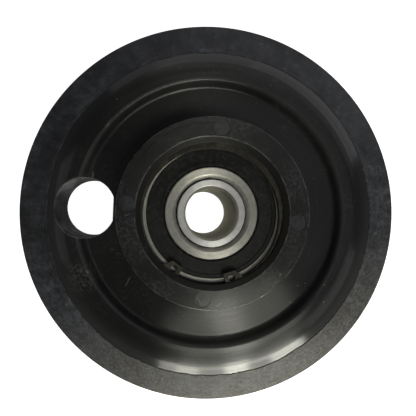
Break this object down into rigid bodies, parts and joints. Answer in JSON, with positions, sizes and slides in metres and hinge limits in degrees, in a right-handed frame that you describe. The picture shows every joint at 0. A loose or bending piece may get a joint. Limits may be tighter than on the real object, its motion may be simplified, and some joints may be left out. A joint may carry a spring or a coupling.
{
  "type": "snowmobile idler wheel",
  "caption": "Moulded plastic idler wheel with a bonded rubber tyre, a sealed ball bearing held by a snap ring, and an axle sleeve; it guides a snowmobile's track.",
  "frame": {"origin": "on the axle's line, at the height of the rim's rear edge, which the wheel lies on", "axes": "+Z along the axle, towards the front face with the snap ring; the access hole is close to -X"},
  "size_m": [0.162, 0.162, 0.0365],
  "materials": {
    "tyre_rubber": "dull moulded rubber",
    "moulded_plastic": "black moulded plastic, scuffed",
    "spring_steel": "black phosphate",
    "bearing_steel": "ground steel",
    "ball_steel": "polished steel",
    "cage_steel": "pressed sheet steel",
    "seal_rubber": "black rubber",
    "sleeve_metal": "turned"
  },
  "bodies": {
    "axle": {"axle_sleeve": "sleeve_metal", "bearing_inner_ring": "bearing_steel"},
    "wheel": {"wheel_body": "moulded_plastic", "tyre": "tyre_rubber", "bearing_outer_ring": "bearing_steel", "snap_ring": "spring_steel", "seal_front": "seal_rubber", "seal_rear": "seal_rubber"},
    "cage": {"cage_front": "cage_steel", "cage_rear": "cage_steel", "cage_rivets": "cage_steel"},
    "rolling_ball_1": {"ball_1": "ball_steel"},
    "rolling_ball_2": {"ball_2": "ball_steel"},
    "rolling_ball_3": {"ball_3": "ball_steel"},
    "rolling_ball_4": {"ball_4": "ball_steel"},
    "rolling_ball_5": {"ball_5": "ball_steel"},
    "rolling_ball_6": {"ball_6": "ball_steel"},
    "rolling_ball_7": {"ball_7": "ball_steel"},
    "rolling_ball_8": {"ball_8": "ball_steel"},
    "rolling_ball_9": {"ball_9": "ball_steel"}
  },
  "joints": [
    {"name": "wheel_spin", "type": "hinge", "parent": "axle", "child": "wheel", "pos_m": [0, 0, 0.0255], "axis": [0, 0, 1], "continuous": true},
    {"name": "cage_orbit", "type": "hinge", "parent": "axle", "child": "cage", "pos_m": [0, 0, 0.0255], "axis": [0, 0, 1], "continuous": true},
    {"name": "ball_1_spin", "type": "hinge", "parent": "cage", "child": "rolling_ball_1", "pos_m": [0.01935, 0, 0.0255], "axis": [0, 0, 1], "continuous": true},
    {"name": "ball_2_spin", "type": "hinge", "parent": "cage", "child": "rolling_ball_2", "pos_m": [0.01482, 0.01244, 0.0255], "axis": [0, 0, 1], "continuous": true},
    {"name": "ball_3_spin", "type": "hinge", "parent": "cage", "child": "rolling_ball_3", "pos_m": [0.00336, 0.01906, 0.0255], "axis": [0, 0, 1], "continuous": true},
    {"name": "ball_4_spin", "type": "hinge", "parent": "cage", "child": "rolling_ball_4", "pos_m": [-0.00967, 0.01676, 0.0255], "axis": [0, 0, 1], "continuous": true},
    {"name": "ball_5_spin", "type": "hinge", "parent": "cage", "child": "rolling_ball_5", "pos_m": [-0.01818, 0.00662, 0.0255], "axis": [0, 0, 1], "continuous": true},
    {"name": "ball_6_spin", "type": "hinge", "parent": "cage", "child": "rolling_ball_6", "pos_m": [-0.01818, -0.00662, 0.0255], "axis": [0, 0, 1], "continuous": true},
    {"name": "ball_7_spin", "type": "hinge", "parent": "cage", "child": "rolling_ball_7", "pos_m": [-0.00967, -0.01676, 0.0255], "axis": [0, 0, 1], "continuous": true},
    {"name": "ball_8_spin", "type": "hinge", "parent": "cage", "child": "rolling_ball_8", "pos_m": [0.00336, -0.01906, 0.0255], "axis": [0, 0, 1], "continuous": true},
    {"name": "ball_9_spin", "type": "hinge", "parent": "cage", "child": "rolling_ball_9", "pos_m": [0.01482, -0.01244, 0.0255], "axis": [0, 0, 1], "continuous": true}
  ],
  "couplings": [
    {"joint": "cage_orbit", "follows": "wheel_spin", "ratio": 0.60256},
    {"joint": "ball_1_spin", "follows": "wheel_spin", "ratio": 2.3351},
    {"joint": "ball_2_spin", "follows": "wheel_spin", "ratio": 2.3351},
    {"joint": "ball_3_spin", "follows": "wheel_spin", "ratio": 2.3351},
    {"joint": "ball_4_spin", "follows": "wheel_spin", "ratio": 2.3351},
    {"joint": "ball_5_spin", "follows": "wheel_spin", "ratio": 2.3351},
    {"joint": "ball_6_spin", "follows": "wheel_spin", "ratio": 2.3351},
    {"joint": "ball_7_spin", "follows": "wheel_spin", "ratio": 2.3351},
    {"joint": "ball_8_spin", "follows": "wheel_spin", "ratio": 2.3351},
    {"joint": "ball_9_spin", "follows": "wheel_spin", "ratio": 2.3351}
  ]
}
